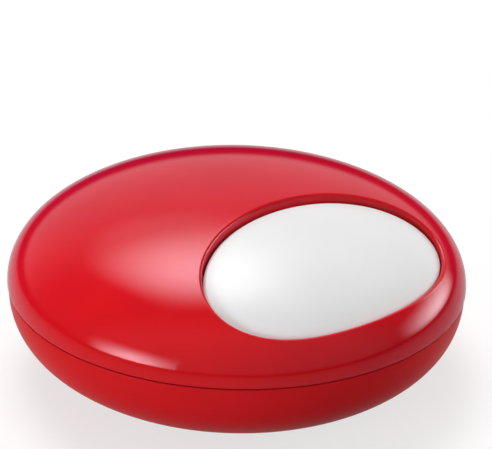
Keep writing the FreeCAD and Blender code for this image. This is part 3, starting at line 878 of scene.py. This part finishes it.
cap_mesh = grid_mesh("cap_moulding", cap_rings, white_plastic)
show(cap_mesh, "cap", "white_cap", "egg_cap")

# Stage: a matt floor, white to the camera and dimmer in reflections, in a plain room
# with a paler rear and ceiling. Three softboxes light the case, and the camera stands
# where the photograph was taken from.
FLOOR_HALF = 6.0
FLOOR_SHADE = 0.305
FLOOR_MOTTLE = 0.02
FLOOR_GLOW = 0.68
FLOOR_NEAR = 0.25
FLOOR_FAR = 0.6
MIRROR_NEAR = 0.07
MIRROR_GLOW = 0.3
REAR_WAY = (0.6, 0.8, 0.0)
FRONT_WAY = (-0.6, -0.8, 0.0)
CEILING_WAY = (0.181, 0.498, 0.848)
ROOM_HORIZON = 0.15
ROOM_FRONT = 0.13
ROOM_REAR = 0.55
ROOM_SHEEN = 0.45
CEILING_SHEEN = 1.5
LAMP_DISTANCE = 2.2
CAMERA_LENS = 135.118
CAMERA_SENSOR = 36.0
CAMERA_SPOT = (-316.706, -376.087, 276.689)
CAMERA_AZIMUTH = -40.3736
CAMERA_ELEVATION = 25.2685
CAMERA_ROLL = math.radians(1.3924)


def eased(value, low, high, start, end):
    """A smooth step of a value from start to end as it goes from low to high."""
    return value.node("ShaderNodeMapRange", {"interpolation_type": "SMOOTHSTEP"}, {
        "Value": value, "From Min": low, "From Max": high, "To Min": start, "To Max": end})


def light_path(start, *rays):
    """For each kind of ray, 1 where it is what meets the surface and 0 elsewhere."""
    return [start.node("ShaderNodeLightPath", output=f"Is {ray} Ray") for ray in rays]


floor_material, floor_place, floor_feed = finish("white_floor")
x, y, _ = floor_place.axes()
reach = (x * x + y * y).maths("SQRT")
near = eased(reach, FLOOR_NEAR, FLOOR_FAR, 1.0, 0.0)
mirrored = eased(reach, MIRROR_NEAR, FLOOR_FAR, 1.0, 0.0)
camera_ray, glossy_ray, passed_ray = light_path(floor_place, "Camera", "Glossy", "Transmission")
shade = floor_place.noise(3.0) * FLOOR_MOTTLE + FLOOR_SHADE
floor_feed("Base Color", (near + glossy_ray * (mirrored - near)) * shade)
floor_feed("Roughness", 0.9)
floor_feed("Specular IOR Level", 0.0)
glow = (camera_ray + passed_ray) * (1.0 - near * (1.0 - FLOOR_GLOW))
floor_feed("Emission Color", glow + glossy_ray * mirrored * MIRROR_GLOW)
floor_feed("Emission Strength", 1.0)
floor_mesh = bpy.data.meshes.new("floor")
floor_corners = [(x * FLOOR_HALF, y * FLOOR_HALF, 0) for x, y in ((-1, -1), (1, -1), (1, 1), (-1, 1))]
floor_mesh.from_pydata(floor_corners, [], [(0, 1, 2, 3)])
floor_mesh.materials.append(floor_material)
place(floor_mesh)

world = bpy.context.scene.world or bpy.data.worlds.new("studio")
bpy.context.scene.world = world
world.use_nodes = True
background = world.node_tree.nodes["Background"]
sky = Field(world.node_tree, world.node_tree.nodes.new("ShaderNodeTexCoord").outputs["Generated"])
rearward, forward, ceilingward = (
    sky.node("ShaderNodeVectorMath", {"operation": "DOT_PRODUCT"}, {0: sky, 1: way}, "Value")
    for way in (REAR_WAY, FRONT_WAY, CEILING_WAY))
camera_ray, glossy_ray = light_path(sky, "Camera", "Glossy")
above_horizon = eased(sky.axes()[2], 0.03, 0.13, 0.0, 1.0)
room = eased(rearward, 0.35, 0.85, ROOM_FRONT, ROOM_REAR) * above_horizon
sheen = eased(forward, 0.0, 0.5, 0.0, ROOM_SHEEN) + eased(ceilingward, 0.895, 0.995, 0.0, CEILING_SHEEN)
room = room + (1.0 - glossy_ray) * ROOM_HORIZON + glossy_ray * sheen
room = camera_ray + (1.0 - camera_ray) * room
world.node_tree.links.new(room.socket, background.inputs["Strength"])
background.inputs["Color"].default_value = (1, 1, 1, 1)


def direction(azimuth, elevation):
    """The way from the case to an azimuth, from the front to the right, and an elevation in degrees."""
    turn, rise = math.radians(azimuth), math.radians(elevation)
    return np.array([math.sin(turn) * math.cos(rise), -math.cos(turn) * math.cos(rise), math.sin(rise)])


def softbox(name, azimuth, elevation, width, height, radiance, *fades):
    """A soft lamp aimed at the case, which sees it at the given angles and spread in degrees.

    Each fade is the share of its size over which it dims to an edge, and how bright that edge is:
    left, right, lower and upper.
    """
    lamp = bpy.data.lights.new(name, "AREA")
    lamp.shape = "RECTANGLE"
    spans = [2 * LAMP_DISTANCE * math.tan(math.radians(spread / 2)) for spread in (width, height)]
    lamp.size, lamp.size_y = spans
    lamp.energy = math.pi * lamp.size * lamp.size_y * radiance
    lamp.use_nodes = True
    tree = lamp.node_tree
    across, upward, _ = Field(tree, tree.nodes.new("ShaderNodeNewGeometry").outputs["Parametric"]).axes()
    level = 1.0
    for distance, (share, edge_level) in zip((across, 1.0 - across, upward, 1.0 - upward), fades):
        level = eased(distance, 0.0, share, edge_level, 1.0) * level
    tree.links.new(level.socket, tree.nodes["Emission"].inputs["Strength"])
    body = bpy.data.objects.new(name, lamp)
    bpy.context.scene.collection.objects.link(body)
    way = Vector(direction(azimuth, elevation))
    body.location = Vector((0, 0, SEAM_Z * MM)) + way * LAMP_DISTANCE
    body.rotation_euler = (-way).to_track_quat("-Z", "Y").to_euler()


softbox("overhead_softbox", 161, 67, 50, 50, 10.6, (0.5, 0), (0.5, 0), (0.5, 0), (0.5, 0))
softbox("left_softbox", -90, 11, 47, 26, 20.5, (0.6, 0), (0.5, 0.2), (0.05, 0), (0.9, 0))
softbox("right_softbox", 69, 11, 56, 30, 10.0, (0.5, 0), (0.5, 0), (0.35, 0), (0.65, 0))

camera = bpy.data.cameras.new("camera")
camera.sensor_width = CAMERA_SENSOR
camera.lens = CAMERA_LENS
camera.clip_start = 0.01
viewer = bpy.data.objects.new("camera", camera)
bpy.context.scene.collection.objects.link(viewer)
back = direction(CAMERA_AZIMUTH, CAMERA_ELEVATION)
right = np.cross([0.0, 0.0, 1.0], back) / math.hypot(back[0], back[1])
up = np.cross(back, right)
pose = np.eye(4)
pose[:3, 0] = right * math.cos(CAMERA_ROLL) + up * math.sin(CAMERA_ROLL)
pose[:3, 1] = up * math.cos(CAMERA_ROLL) - right * math.sin(CAMERA_ROLL)
pose[:3, 2] = back
pose[:3, 3] = np.array(CAMERA_SPOT) * MM
viewer.matrix_world = Matrix(pose.tolist())
bpy.context.scene.camera = viewer
bpy.context.scene.view_settings.view_transform = "Standard"
